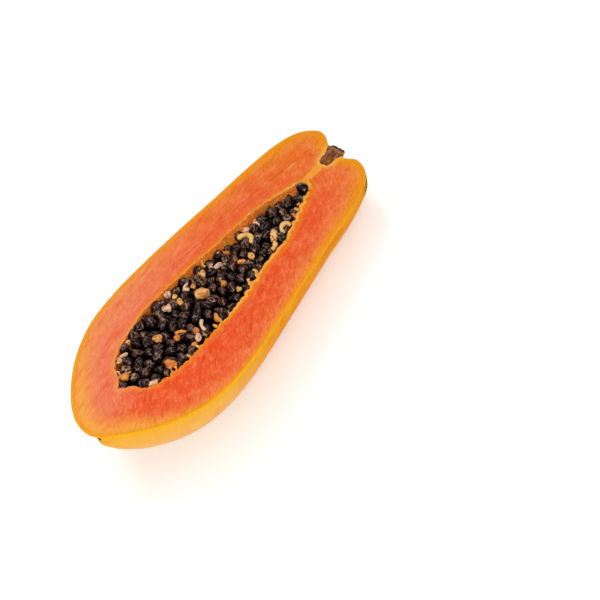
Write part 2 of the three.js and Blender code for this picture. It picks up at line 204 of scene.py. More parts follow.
# The stem's stub: base, heading and profile as radius and distance out, as in the source.
STUB_BASE = np.array([220.2, -0.3])
STUB_HEADING = np.radians(-5)
STUB_PROFILE = [
    (0, 0), (2.5, 0.2), (3.5, 2.4), (3.7, 5.8), (4.4, 8.8), (5.4, 11.4), (5.3, 13.2), (3.7, 14.7),
    (0, 14.4),
]
STUB_STATIONS = 90
STUB_SIDES = 110
STUB_KNOBS = 5
STUB_KNOB_DEPTH = 0.07
STUB_FISSURES = 11
STUB_FISSURE_DEPTH = 0.05
STUB_PROUD = 0.5
STUB_CUT_LEVEL = 0.15

# The scar at the blossom end: middle, half sizes and lean.
SCAR_MIDDLE = np.array([0.3, 0.0, -0.75])
SCAR_HALF = np.array([0.8, 0.8, 0.4])
SCAR_LEAN = np.radians(-60)

# The pale cord of flesh between the hollow's tip and the stem: its line and its width.
CHANNEL = [(200.5, 2.2), (206, 1.9), (213, 1.0), (221, 0.4)]
CHANNEL_WIDTHS = [1.6, 2.0, 2.4, 3.2]

# The studio's light: how much brighter than its own colour a surface looks, and the veil of
# reflected white over it.
STUDIO_GAIN = 1.06
STUDIO_VEIL = 0.015

# How brightly the white floor glows, and how wide it is.
FLOOR_GLOW = 0.2
FLOOR_SIZE = 8

# The lights in metres: name, place, target, diameter and power. The even light from all round.
SOFTBOXES = [
    ("key", (0.1, 0.6, 1.2), (0, 0, 0.04), 0.7, 5.8),
    ("fill", (-0.75, -0.85, 1.0), (0, 0, 0.04), 1.1, 11.5),
    ("top", (0.0, -0.1, 1.6), (0, 0, 0), 1.4, 5.5),
]
SKY_STRENGTH = 0.38

# The dark patch on the skin outside the right shoulder, where the skin swells a little.
SHOULDER_PATCH = np.array([222.0, -30.0, -4.5])
SHOULDER_SWELL = 1.1
SHOULDER_SWELL_REACH = (12, 9, 4)
SHOULDER_COLOUR_REACH = np.array([16.36, 9.0, 9.0])

# The yellow crater round the stem: its radius, and where along the fruit it starts.
CRATER_FADES = (6, 11)
CRATER_STARTS = (214, 222)

# The grooved line on the left half between its redder inner flesh and its paler outer flesh. How
# far the cut face lies under the stub's cut side. How the flesh's streaks are turned and stretched.
INNER_LINE = [(70, 44), (95, 38), (122, 32), (149, 27), (170, 25), (193, 20), (216, 15), (224, 8)]
INNER_GROOVE = 0.2
INNER_GROOVE_WIDTH = 0.7
INNER_GROOVE_STARTS = (100, 130)
SEAT_DEPTH = 1.6
STREAK_TURN = np.radians(32)
STREAK_STRETCH = (0.3, 1.0)

# Distances for places off the cut face, where they draw no border.
OFF_FACE = {"edge": 30.0, "rim": 30.0, "inner": -30.0, "seat": 30.0}
SKIN, FLESH, WALL = range(3)

# The camera in the cut frame: its place, its right, up and back directions, and its lens.
CAMERA_PLACE = Vector((-444.5, -506.4, 885.0))
CAMERA_RIGHT = Vector((0.534719, -0.839827, -0.093628))
CAMERA_UP = Vector((0.683053, 0.364330, 0.633010))
CAMERA_BACK = Vector((-0.497507, -0.402435, 0.768461))
CAMERA_LENS = 127.1
SENSOR_WIDTH = 36.0


# Curves, draws and relief

def spline(points, along):
    """A smooth curve through the points, at shares of its length between 0 and 1."""
    points = np.array(points, float)
    last = len(points) - 1
    place = np.asarray(along, float) * last
    start = np.minimum(np.floor(place).astype(int), last)
    t = (place - start)[..., None]
    here = points[start]
    before, after = points[np.maximum(start - 1, 0)], points[np.minimum(start + 1, last)]
    beyond = points[np.minimum(start + 2, last)]
    v0, v1 = (after - before) / 2, (beyond - here) / 2
    cubic = 2 * here - 2 * after + v0 + v1
    square = 3 * after - 3 * here - 2 * v0 - v1
    return cubic * t**3 + square * t**2 + v0 * t + here


def smooth(value, low, high):
    t = np.clip((np.asarray(value, float) - low) / (high - low), 0, 1)
    return t * t * (3 - 2 * t)


def seeded_random(seed):
    """The same numbers in every run, between 0 and 1, as in the part's source."""
    state = seed
    while True:
        state = (state * 1664525 + 1013904223) % 4294967296
        yield state / 4294967296


def relief(places, height, size, draw):
    """Smooth random relief, mostly within that height, with features of that size."""
    random = np.random.default_rng(draw)
    total = np.zeros(len(places))
    for _ in range(RELIEF_WAVES):
        direction = random.normal(size=places.shape[1])
        direction /= norm(direction)
        length = size * random.uniform(0.7, 1.6)
        total += np.sin(places @ direction * (2 * np.pi / length) + random.uniform(0, 2 * np.pi))
    return height * (total / np.sqrt(RELIEF_WAVES))


def unit(vectors):
    return vectors / norm(vectors, axis=-1, keepdims=True)


def lengths(curve):
    """The length from a curve's start to each of its points."""
    return np.r_[0, np.cumsum(norm(np.diff(curve, axis=0), axis=1))]


def distances(places, boundary):
    """The distance from each place on the cut face to the nearest point of a boundary."""
    nearest = np.empty(len(places))
    step = 2000
    for first in range(0, len(places), step):
        gap = places[first:first + step, None, :2] - boundary[None, :, :2]
        nearest[first:first + step] = np.sqrt((gap**2).sum(axis=2).min(axis=1))
    return nearest


# Mesh building

def grid_quads(rows, columns, start=0, flip=False):
    """Faces between the points of a grid that is stored row by row."""
    row, column = np.meshgrid(np.arange(rows - 1), np.arange(columns - 1), indexing="ij")
    corner = (start + row * columns + column).ravel()
    quads = np.c_[corner, corner + 1, corner + columns + 1, corner + columns]
    return quads[:, ::-1] if flip else quads


def placed(name, data):
    piece = bpy.data.objects.new(name, data)
    scene.collection.objects.link(piece)
    return piece


def mesh_object(name, places, faces, materials, attributes=None, kinds=None, weld=0.0):
    """An object from points in the cut frame, in millimetres, and faces with four corners.
    Corners closer than weld are joined."""
    mesh = bpy.data.meshes.new(name)
    world = (np.c_[places, np.ones(len(places))] @ np.array(REST_POSE).T)[:, :3] * MM
    world[:, 2] = np.maximum(world[:, 2], 0)
    mesh.vertices.add(len(places))
    mesh.vertices.foreach_set("co", world.astype(np.float32).ravel())
    mesh.loops.add(4 * len(faces))
    mesh.loops.foreach_set("vertex_index", np.asarray(faces, np.int32).ravel())
    mesh.polygons.add(len(faces))
    mesh.polygons.foreach_set("loop_start", np.arange(0, 4 * len(faces), 4, dtype=np.int32))
    if kinds is not None:
        mesh.polygons.foreach_set("material_index", np.asarray(kinds, np.int32))
    for material in materials:
        mesh.materials.append(material)
    for key, values in {"place": places, **(attributes or {})}.items():
        values = np.asarray(values, np.float32)
        kind, field = ("FLOAT_VECTOR", "vector") if values.ndim == 2 else ("FLOAT", "value")
        mesh.attributes.new(key, kind, "POINT").data.foreach_set(field, values.ravel())
    mesh.update(calc_edges=True)
    mesh.validate()
    if weld:
        welded = bmesh.new()
        welded.from_mesh(mesh)
        bmesh.ops.remove_doubles(welded, verts=welded.verts, dist=weld * MM)
        bmesh.ops.recalc_face_normals(welded, faces=welded.faces)
        welded.to_mesh(mesh)
        welded.free()
    mesh.polygons.foreach_set("use_smooth", np.ones(len(mesh.polygons), bool))
    return placed(name, mesh)


def belongs(piece, slot, *nodes):
    """Puts the piece on the part's body, in the place of the solids' nodes. The slot is not used.
    """
    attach(piece, "root")
    if nodes:
        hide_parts(*nodes)


# Materials

def seen(red, green, blue):
    """The surface colour that is seen as that one, 0 to 255, in the studio's light."""
    wanted = np.array([red, green, blue]) / 255
    linear = np.where(wanted <= 0.04045, wanted / 12.92, ((wanted + 0.055) / 1.055) ** 2.4)
    return (*np.clip((linear - STUDIO_VEIL) / STUDIO_GAIN, 0.001, 0.95).tolist(), 1.0)


def shade(value):
    """A socket as it is, or the surface colour for a seen one."""
    return seen(*value) if isinstance(value, tuple) else value


class Shader:
    """One material's nodes. Most methods add nodes and give the socket that they end in. Sizes
    and heights are in millimetres, and colours are as they are seen, 0 to 255."""

    def __init__(self, name):
        self.material = bpy.data.materials.new(name)
        self.material.use_nodes = True
        self.nodes = self.material.node_tree.nodes
        self.links = self.material.node_tree.links
        self.colour = None

    def put(self, value, socket):
        if isinstance(value, bpy.types.NodeSocket):
            self.links.new(value, socket)
        else:
            socket.default_value = value

    def node(self, kind, inputs, output=0, **settings):
        """A new node's output, from its inputs by index or name."""
        node = self.nodes.new("ShaderNode" + kind)
        for key, setting in settings.items():
            setattr(node, key, setting)
        for key, value in inputs.items():
            self.put(value, node.inputs[key])
        return node.outputs[output]

    def attribute(self, name, output="Fac"):
        return self.node("Attribute", {}, output, attribute_name=name)

    def place(self, *stretch, turn=0):
        """The place in the cut frame, turned about Z and squeezed by a share along each axis."""
        place = self.attribute("place", "Vector")
        if turn:
            place = self.node(
                "VectorRotate", {"Vector": place, "Angle": np.radians(turn)},
                rotation_type="Z_AXIS")
        if stretch:
            place = self.node("VectorMath", {0: place, 1: stretch}, operation="MULTIPLY")
        return place

    def along(self, axis):
        return self.node("SeparateXYZ", {0: self.place()}, axis)

    def noise(self, size, detail=3.0, vector=None, roughness=0.55, wriggle=0.0):
        return self.node("TexNoise", {
            "Vector": self.place() if vector is None else vector, "Scale": 1 / size,
            "Detail": detail, "Roughness": roughness, "Distortion": wriggle,
        }, "Fac")

    def cells(self, size):
        return self.node("TexVoronoi", {"Vector": self.place(), "Scale": 1 / size}, "Distance")

    def ramp(self, factor, *stops):
        node = self.nodes.new("ShaderNodeValToRGB")
        self.put(factor, node.inputs[0])
        elements = node.color_ramp.elements
        while len(elements) < len(stops):
            elements.new(1.0)
        for element, (position, colour) in zip(elements, stops):
            element.position, element.color = position, seen(*colour)
        return node.outputs[0]

    def steps(self, value, low, high, out_low=0.0, out_high=1.0):
        """A soft step between two values, from one result to another."""
        inputs = dict(enumerate((value, low, high, out_low, out_high)))
        return self.node("MapRange", inputs, interpolation_type="SMOOTHSTEP")

    def math(self, operation, *values):
        return self.node("Math", dict(enumerate(values)), operation=operation)

    def times(self, first, *others):
        for factor in others:
            first = self.math("MULTIPLY", first, factor)
        return first

    def frayed(self, value, amount, *noise):
        """The value with that much noise on it, so that a border drawn at it wanders."""
        return self.math("MULTIPLY_ADD", self.noise(*noise), amount, value)

    def mix(self, factor, first, second):
        inputs = {0: factor, 6: shade(first), 7: shade(second)}
        return self.node("Mix", inputs, 2, data_type="RGBA")

    def bump(self, height, distance):
        """Relief that is too fine for the mesh."""
        return self.node("Bump", {"Height": height, "Distance": distance * MM})

    def paint(self, colour, *shares):
        """Covers the colour so far with another one, by the product of the shares."""
        self.colour = self.mix(self.times(*shares), self.colour, colour)

    def finish(self, roughness, normal=None, specular=0.5, under=None, **sockets):
        """The material. Under is the light below the surface: its share, reach and scale."""
        sockets |= {"Base_Color": self.colour, "Roughness": roughness}
        sockets["Specular_IOR_Level"] = specular
        if normal is not None:
            sockets["Normal"] = normal
        if under:
            sockets |= zip(("Subsurface_Weight", "Subsurface_Radius", "Subsurface_Scale"), under)
        surface = self.nodes["Principled BSDF"]
        for key, value in sockets.items():
            self.put(value, surface.inputs[key.replace("_", " ")])
        return self.material


def flesh_material():
    s = Shader("papaya_flesh")
    rim, edge, inner = s.attribute("rim"), s.attribute("edge"), s.attribute("inner")
    x, y = s.along(0), s.along(1)

    # From the hollow's rim to the edge: redder on the near side and towards the stem.
    share = s.math("DIVIDE", rim, s.math("ADD", s.math("ADD", rim, edge), 0.001))
    share = s.math("ADD", s.frayed(share, 0.24, 9, 2, s.place(0.45, 1, 1)), -0.12)
    near = s.ramp(
        s.math("ADD", share, s.steps(x, 85, 165, -0.07, 0.07)),
        (0, (240, 100, 44)), (0.1, (237, 85, 44)), (0.45, (238, 95, 52)),
        (0.66, (239, 106, 58)), (0.84, (242, 130, 68)), (1, (243, 148, 52)),
    )
    far_blossom = s.ramp(
        share, (0, (242, 136, 82)), (0.16, (240, 124, 86)), (0.4, (241, 134, 98)),
        (0.66, (242, 139, 92)), (0.86, (242, 150, 92)), (1, (242, 158, 78)),
    )
    far_stem = s.ramp(
        share, (0, (240, 118, 54)), (0.16, (237, 104, 54)), (0.4, (237, 108, 54)),
        (0.66, (239, 118, 58)), (0.86, (238, 130, 50)), (1, (239, 144, 42)),
    )
    # The far side's paler, pinker salmon is partly the flesh's own tone and partly painted sheen.
    far = s.mix(s.steps(x, 75, 165), far_blossom, far_stem)
    side = s.steps(s.math("ADD", y, s.times(x, -0.05)), -12, 12)
    s.colour = s.mix(side, near, far)
    s.paint((238, 106, 60), s.steps(inner, 0.1, 1.2), s.steps(x, 90, 130), 0.6)

    # Towards the stem, its outer edge and the blossom end.
    clouded = s.frayed(x, 16, 14)
    stem = s.steps(clouded, 186, 222, 0, 0.65)
    s.paint(s.mix(side, (241, 126, 62), (238, 124, 38)), stem)
    outer = s.steps(s.frayed(edge, -5, 8, 2), 10, -1)
    s.paint((238, 150, 4), outer, s.steps(clouded, 196, 226), 0.95)
    inwards = s.times(edge, s.steps(s.math("SUBTRACT", x, y), 26, 62, 1, 1.9))
    blossom = s.times(s.steps(inwards, 16, 2), s.steps(clouded, 76, 22), 0.9)
    s.paint((246, 176, 70), blossom)

    # Mottling, then streaks across the near side and along the far one.
    mottle = s.noise(4.5, 3, s.place(0.6, 1, 1), 0.6)
    s.paint((248, 150, 98), s.steps(mottle, 0.48, 0.66), s.steps(x, 120, 200, 0.3, 0.4))
    s.paint((232, 82, 40), s.steps(mottle, 0.48, 0.32, 0, 0.25))
    streak = s.noise(1.5, 4, s.place(0.3, 1, 1, turn=-32), 0.62, 1.3)
    # Paler where the streaks' relief is raised and redder where it is low, strongest on the near
    # side: partly the flesh's own streaks, partly painted sheen and shade of that relief.
    s.paint((248, 144, 96), s.steps(streak, 0.52, 0.68), s.steps(side, 0, 1, 0.95, 0.25), 0.65)
    s.paint((224, 58, 26), s.steps(streak, 0.49, 0.34), s.steps(side, 0, 1, 0.9, 0.3), 0.52)
    fibre = s.noise(2.3, 4, s.place(0.13, 1, 1), 0.66, 0.6)
    s.paint((248, 166, 120), s.steps(fibre, 0.53, 0.7), side, 0.5)
    s.paint((228, 84, 46), s.steps(fibre, 0.47, 0.32), side, 0.5)
    groove = s.times(
        s.steps(s.math("ABSOLUTE", inner), 0.75, 0.1), s.steps(x, 100, 130),
        s.steps(s.noise(7, 2), 0.36, 0.56), 0.6)
    s.paint((220, 70, 34), groove)

    # The golden edge and the thin rind.
    scaled = s.times(edge, s.steps(x, 130, 220, 1, 0.62))
    gold = s.steps(s.frayed(scaled, -2.4, 11, 2), 3.2, -0.4)
    s.paint((241, 150, 32), gold, 0.85)
    rind = s.times(
        s.steps(s.frayed(edge, -0.7, 7, 2), 1.3, 0.3), s.steps(s.attribute("seat"), 1, 6),
        s.steps(side, 0, 1, 1, 0.55), 0.95)
    s.paint(s.mix(s.steps(x, 70, 130), (243, 180, 34), (242, 166, 38)), rind)

    # The paler band round the hollow and its torn lip.
    width = s.times(s.steps(x, 60, 150, 0.3, 2.6), s.steps(side, 0, 1, 1, 0.1))
    band = s.steps(s.math("SUBTRACT", s.frayed(rim, -2.6, 5, 3), width), 1.9, -0.4)
    far_blossom_end = s.times(side, s.steps(x, 110, 50))
    band_colour = s.mix(far_blossom_end, (241, 126, 40), (242, 146, 84))
    s.paint(band_colour, band, 0.85)
    torn = s.times(s.steps(side, 1, 0), s.steps(x, 70, 120))
    torn_rim = s.frayed(rim, s.steps(torn, 0, 1, -0.9, -2.6), 2.2, 2)
    lip = s.steps(torn_rim, s.steps(torn, 0, 1, 0.45, 1), 0)
    far_lip = s.mix(s.steps(x, 45, 110), (244, 164, 100), (247, 156, 62))
    s.paint(s.mix(side, (246, 178, 78), far_lip), lip, 0.85)

    # The cord to the stem and the hollow that the stub sits in.
    channel = s.frayed(s.attribute("channel"), 0.6, 2.6, 3, s.place(0.4, 1, 1))
    s.paint((247, 166, 62), s.steps(channel, 0.4, 1.15, 0, 0.95))
    seat = s.steps(s.frayed(s.attribute("seat"), -1.5, 3, 2), 3, 0.2)
    s.paint((246, 182, 84), seat, 0.8)

    fine = s.noise(0.9, 3, s.place(0.5, 1, 1, turn=-32), 0.6)
    height = s.math("MULTIPLY_ADD", fine, 0.5, streak)
    return s.finish(
        s.steps(s.noise(2), 0.3, 0.7, 0.32, 0.48), s.bump(height, 0.6), 0.13,
        (0.1, (1, 0.35, 0.15), 0.002))


def wall_material():
    s = Shader("papaya_hollow_wall")
    cells = s.cells(1.5)
    # The wall's orange, lighter at each papilla's middle where the bump is highest: painted
    # highlight on the papillae.
    s.colour = s.ramp(cells, (0, (255, 184, 98)), (0.35, (255, 158, 68)), (0.75, (255, 134, 48)))
    s.paint((255, 120, 46), s.steps(s.noise(6), 0.46, 0.68, 0, 0.3))
    s.paint((248, 158, 76), s.steps(s.along(2), -1.2, -0.2, 0, 0.7))
    papillae = s.bump(s.times(cells, -1), 0.5)
    return s.finish(0.4, papillae, 0.3, (0.7, (1, 0.45, 0.15), 0.005))


def skin_material():
    s = Shader("papaya_skin")
    x, depth = s.along(0), s.times(s.along(2), -1)
    golden = s.ramp(
        s.noise(22), (0.34, (228, 130, 2)), (0.5, (234, 144, 6)), (0.66, (240, 164, 20)))
    pale = s.steps(s.frayed(x, 40, 20), 140, 65)
    peach = s.mix(s.steps(depth, 3, 26), (238, 178, 76), (240, 188, 126))
    s.colour = s.mix(s.times(pale, 0.85), golden, peach)
    mottle = s.steps(s.noise(1.7, 4, s.place(1, 0.5, 0.35), 0.68), 0.52, 0.72, 0, 0.35)
    s.paint(s.mix(pale, (242, 176, 26), (244, 196, 96)), mottle)
    blush = s.times(s.steps(s.noise(16, 2), 0.5, 0.66), s.steps(pale, 0, 1, 0.3, 0.7), 0.55)
    s.paint(s.mix(pale, (232, 134, 20), (234, 150, 70)), blush)
    low = s.steps(s.frayed(depth, 26, 22), 31, 47)
    green = s.times(low, s.steps(s.noise(13, 4), 0.42, 0.6), 0.75)
    s.paint((166, 152, 34), green)
    spots = s.times(
        s.steps(s.cells(2.6), 0.36, 0.12), low, s.steps(s.noise(9, 2), 0.44, 0.58), 0.72)
    s.paint((88, 90, 26), spots)
    patch = s.steps(s.frayed(s.attribute("patch"), 0.4, 4), 0.5, 0.82, 0, 0.9)
    s.paint((84, 78, 40), patch)
    s.paint((232, 176, 40), s.attribute("crater"), 0.7)
    s.paint((242, 178, 20), s.steps(depth, 2.2, 0.3, 0, 0.7))
    height = s.math("MULTIPLY_ADD", s.cells(0.9), 0.18, s.noise(3.2))
    return s.finish(
        s.steps(s.noise(7), 0.3, 0.7, 0.42, 0.56), s.bump(height, 0.1), 0.015,
        (0.06, (1, 0.5, 0.1), 0.002))


def dark_seed_material():
    s = Shader("papaya_seed")
    tint, ridge = s.attribute("tint"), s.attribute("ridge")
    s.colour = s.ramp(
        tint, (0, (42, 26, 20)), (0.45, (58, 36, 26)), (0.8, (98, 64, 46)), (1, (140, 96, 70)))
    # Painted light: each seed a lighter brown on its top.
    crown = s.frayed(s.attribute("crown"), 0.3, 2)
    s.paint((120, 84, 68), s.steps(crown, 0.72, 1.1), s.steps(tint, 0.1, 0.7, 0.12, 0.75))
    # Painted highlight on the wrinkles' ridges, and painted shade in the valleys between them.
    s.paint((188, 146, 122), s.steps(ridge, 0.74, 1), s.steps(tint, 0, 0.6, 0.6, 0.9))
    s.paint((16, 9, 7), s.steps(ridge, 0.62, 0.32, 0, 0.92))
    # Painted shade: near black low on each seed's sides, where it sits among the others.
    shadow = s.steps(crown, 0.8, 0.25)
    s.paint((14, 6, 5), shadow, 0.9)
    gloss = s.times(s.steps(ridge, 0.4, 0.95, 0.12, 0.75), s.steps(shadow, 0, 1, 1, 0.2))
    coat = s.times(s.steps(ridge, 0.3, 0.9, 0.05, 0.35), s.steps(shadow, 0, 1, 1, 0))
    height = s.math("MULTIPLY_ADD", s.cells(0.7), 0.5, s.noise(0.8))
    return s.finish(
        s.steps(s.noise(1.6), 0.35, 0.65, 0.22, 0.4), s.bump(height, 0.22), gloss,
        Specular_Tint=(1, 0.82, 0.74, 1), Coat_Weight=coat, Coat_Roughness=0.1)


def pale_seed_material(name):
    s = Shader(name)
    s.colour = s.ramp(
        s.attribute("tint"), (0, (236, 198, 176)), (0.5, (242, 192, 112)), (1, (222, 134, 56)))
    s.paint((206, 118, 66), s.steps(s.noise(1.8), 0.5, 0.7, 0, 0.5))
    # Painted shade: darker in the wrinkles' valleys.
    s.paint((176, 86, 40), s.steps(s.attribute("ridge"), 0.45, 0.05, 0, 0.7))
    # Painted shade: a darker orange patch on each pale seed's top, drawn as a cleft that the mesh
    # doesn't have.
    crown = s.frayed(s.attribute("crown"), 0.3, 1.2, 2)
    s.paint((214, 134, 62), s.steps(crown, 0.95, 1.15, 0, 0.5))
    return s.finish(
        0.38, s.bump(s.noise(0.7), 0.15), 0.4, (0.15, (1, 0.6, 0.35), 0.0012))


def bed_material():
    s = Shader("seed_bed")
    # Near black brown: painted shade for the gaps deep among the seeds.
    s.colour = s.mix(s.noise(2.5), (18, 10, 8), (52, 26, 14))
    return s.finish(0.5, s.bump(s.noise(1.2), 0.5))


def bark_material():
    s = Shader("stem_bark")
    out = s.attribute("out")
    fibre = s.noise(0.8, 4, s.place(0.16, 1, 1), 0.6)
    s.colour = s.ramp(fibre, (0.30, (70, 36, 18)), (0.5, (132, 74, 38)), (0.68, (170, 112, 70)))
    s.paint((192, 132, 96), s.steps(s.noise(3.2), 0.5, 0.66, 0, 0.55))
    ring = s.steps(s.math("ABSOLUTE", s.math("ADD", out, -12.4)), 1.3, 0.5, 0, 0.7)
    s.paint((160, 118, 78), ring)
    charred = s.steps(s.frayed(out, 1.6, 1.6), 14, 14.7, 0, 0.9)
    s.paint((44, 30, 20), charred)
    s.paint((58, 40, 26), s.attribute("outer"), 0.9)
    return s.finish(0.75, s.bump(fibre, 0.5), 0.3)


def scar_material():
    s = Shader("blossom_scar")
    s.colour = s.mix(s.noise(0.5), (24, 16, 10), (70, 44, 20))
    return s.finish(0.8, s.bump(s.noise(0.4), 0.2))


def floor_material():
    s = Shader("pale_floor")
    s.colour = (0.93, 0.93, 0.93, 1)
    return s.finish(
        0.9, specular=0, Emission_Color=(1, 1, 1, 1), Emission_Strength=FLOOR_GLOW)


# Fruit

def section(left, right, angle, swell):
    """Points of a half-round body between two edges, below the cut face."""
    middle, half = (left + right) / 2, (left - right) / 2
    flat = middle + half * (np.cos(angle) * swell)[..., None]
    depth = -norm(half, axis=-1) * np.sin(angle) * swell
    return np.concatenate([flat, depth[..., None]], axis=-1)


def spread(count, evenness):
    """Shares from 0 to 1, closer together near both ends the less even they are."""
    share = np.linspace(0, 1, count)
    return evenness * share + (1 - evenness) * (1 - np.cos(np.pi * share)) / 2


def matching_rim(edge, rim_points):
    """The hollow's rim, with as many points as the edge and the same shares of their lengths."""
    fine = spline(rim_points, np.linspace(0, 1, FINE_CURVE))
    edge_length, rim_length = lengths(edge), lengths(fine)
    wanted = edge_length * (rim_length[-1] / edge_length[-1])
    return np.stack([np.interp(wanted, rim_length, fine[:, k]) for k in range(2)], axis=1)


def torn(rim, draw, strength):
    """How far the rim's torn edge lies from its smooth line, outwards from the hollow."""
    length = lengths(rim)[:, None]
    ends = smooth(length[:, 0], 0, 6) * smooth(length[-1, 0] - length[:, 0], 0, 6)
    ragged = relief(length, *RAGGED_LONG, draw) + relief(length, *RAGGED_SHORT, draw + 1)
    return strength * ends * ragged


def rim_normals(rim, side):
    tangent = unit(np.gradient(rim, axis=0))
    return side * np.stack([-tangent[:, 1], tangent[:, 0]], axis=1)


def quarter_round(distance):
    """How far the rounding takes the cut face down at that distance from its border."""
    within = np.clip(1 - distance / EDGE_ROUND, 0, 1)
    return -EDGE_ROUND * (1 - np.sqrt(1 - within**2))


class Side:
    """The left or right half of the cut face: its edge and its rim, station by station."""

    def __init__(self, edge_points, rim_points, side, draw, strength):
        self.edge = spline(edge_points, np.linspace(0, 1, STATIONS + 1))
        self.smooth_rim = matching_rim(self.edge, rim_points)
        tear = torn(self.smooth_rim, draw, strength)
        self.torn = tear[:, None] * rim_normals(self.smooth_rim, side)
        self.rim = self.smooth_rim + self.torn


def channel_share(places):
    """1 in the middle of the pale cord between the hollow's tip and the stem, 0 well outside."""
    fine = np.linspace(0, 1, 60)
    line = spline(CHANNEL, fine)
    widths = np.interp(fine, np.linspace(0, 1, len(CHANNEL_WIDTHS)), CHANNEL_WIDTHS)
    gap = norm(places[:, None, :2] - line[None], axis=2) / widths
    return np.clip(1.5 - gap.min(axis=1), 0, 1)


def inner_side(flat):
    """How far each place on the cut face lies inside the line on the left half."""
    line = spline(INNER_LINE, np.linspace(0, 1, 240))
    apart = flat[:, None] - line[None]
    nearest = (apart**2).sum(axis=2).argmin(axis=1)
    run = np.gradient(line, axis=0)[nearest]
    apart = apart[np.arange(len(flat)), nearest]
    cross = run[:, 0] * apart[:, 1] - run[:, 1] * apart[:, 0]
    return -np.sign(cross) * norm(apart, axis=1)


def outside_stub(flat):
    """How far each place on the cut face lies outside the stub's outline."""
    heading = np.array([np.cos(STUB_HEADING), np.sin(STUB_HEADING)])
    local = flat - STUB_BASE
    out = local @ heading
    aside = np.abs(local @ np.array([-heading[1], heading[0]]))
    profile = spline(STUB_PROFILE, np.linspace(0, 1, 200))
    distance = distances(np.c_[aside, out], profile)
    radius = np.interp(out, profile[:, 1], profile[:, 0])
    inside = (aside < radius) & (out > 0) & (out < STUB_PROFILE[-1][1])
    return np.where(inside, -distance, distance)


def cut_face(side, edges, rims):
    """One half of the cut face: its points, and their distances from what is drawn on it."""
    across = spread(FACE_ROWS + 1, 0.5)[None, :, None]
    flat = side.rim[:, None] * (1 - across) + side.edge[:, None] * across
    flat = flat.reshape(-1, 2)
    edge, rim = distances(flat, edges), distances(flat, rims)
    inner, seat = inner_side(flat), outside_stub(flat)
    cosine, sine = np.cos(STREAK_TURN), np.sin(STREAK_TURN)
    streaks = flat @ np.array([[cosine, -sine], [sine, cosine]]) * STREAK_STRETCH
    height = relief(flat, *KNIFE_WAVE) + relief(flat, *GRAIN) + relief(streaks, *FACE_STREAKS)
    groove = INNER_GROOVE * np.exp(-((inner / INNER_GROOVE_WIDTH) ** 2))
    height -= groove * smooth(flat[:, 0], *INNER_GROOVE_STARTS)
    height *= smooth(edge, 0.3, 9)
    lip = LIP_HEIGHT * np.exp(-((rim - LIP_WIDTH) / LIP_WIDTH) ** 2)
    lip *= 1 + relief(flat, *LIP_UNEVENNESS)
    height += lip * smooth(edge, 1, 6) + quarter_round(rim) + quarter_round(edge)
    height -= SEAT_DEPTH * smooth(-seat, -0.15, 0.35)
    grid = np.c_[flat, height].reshape(STATIONS + 1, FACE_ROWS + 1, 3)
    return grid, {"edge": edge, "rim": rim, "inner": inner, "seat": seat}


def skin(left, right):
    """The skin from the left edge under the fruit to the right edge."""
    angle = np.linspace(0, np.pi, SKIN_ROWS + 1)[None, :] * np.ones((STATIONS + 1, 1))
    swell = 1 + LOBE_DEPTH * np.sin(angle) * np.cos(LOBES * angle)
    places = section(left.edge[:, None], right.edge[:, None], angle, swell)
    half = norm(left.edge - right.edge, axis=1) / 2
    middle = (left.edge[:, 0] + right.edge[:, 0]) / 2
    tuck = BLOSSOM_TUCK * half / (1 + (half / BLOSSOM_TUCK_LIMIT) ** 3)
    tuck *= 1 - smooth(middle, *BLOSSOM_TUCK_FADES)
    bulge = BLOSSOM_BULGE * smooth(half, 0, BLOSSOM_BULGE_STARTS)
    bulge *= 1 - smooth(middle, *BLOSSOM_BULGE_FADES)
    on_left, on_right = ((1 + np.cos(angle)) / 2) ** 2, (1 - np.cos(angle)) / 2
    places[..., 0] += np.sin(angle) * (on_left * tuck[:, None] - on_right * bulge[:, None])
    from_patch = (places - SHOULDER_PATCH) / SHOULDER_SWELL_REACH
    places[..., 1] -= SHOULDER_SWELL * np.exp(-(from_patch**2).sum(axis=-1))
    drop = np.minimum(EDGE_ROUND, half * np.sin(np.pi / SKIN_ROWS) / 2)
    places[:, 0, 2] = places[:, -1, 2] = -drop
    return places, drop


def wall(left, right):
    """The hollow's wall, with papillae, from the left rim under the seeds to the right rim."""
    angle = (np.pi * spread(WALL_ROWS + 1, 0.35))[None, :] * np.ones((STATIONS + 1, 1))
    left_rim, right_rim = left.smooth_rim[:, None], right.smooth_rim[:, None]
    places = section(left_rim, right_rim, angle, np.ones_like(angle))
    depth = np.clip(-places[..., 2], 0, None)
    fade = np.exp(-depth / 2.5)[..., None]
    on_left = (np.cos(angle) > 0)[..., None]
    places[..., :2] += fade * np.where(on_left, left.torn[:, None], right.torn[:, None])
    outward = places.copy()
    outward[..., :2] -= (left_rim + right_rim) / 2
    outward /= np.maximum(norm(outward, axis=-1, keepdims=True), 0.5)
    flat = places.reshape(-1, 3)
    bump = sum(relief(flat, *papillae) for papillae in PAPILLAE)
    flat = flat + outward.reshape(-1, 3) * (bump * smooth(depth.ravel(), 0.1, 1.2))[:, None]
    flat[:, 2] = np.minimum(flat[:, 2], -0.02)
    return flat.reshape(places.shape)


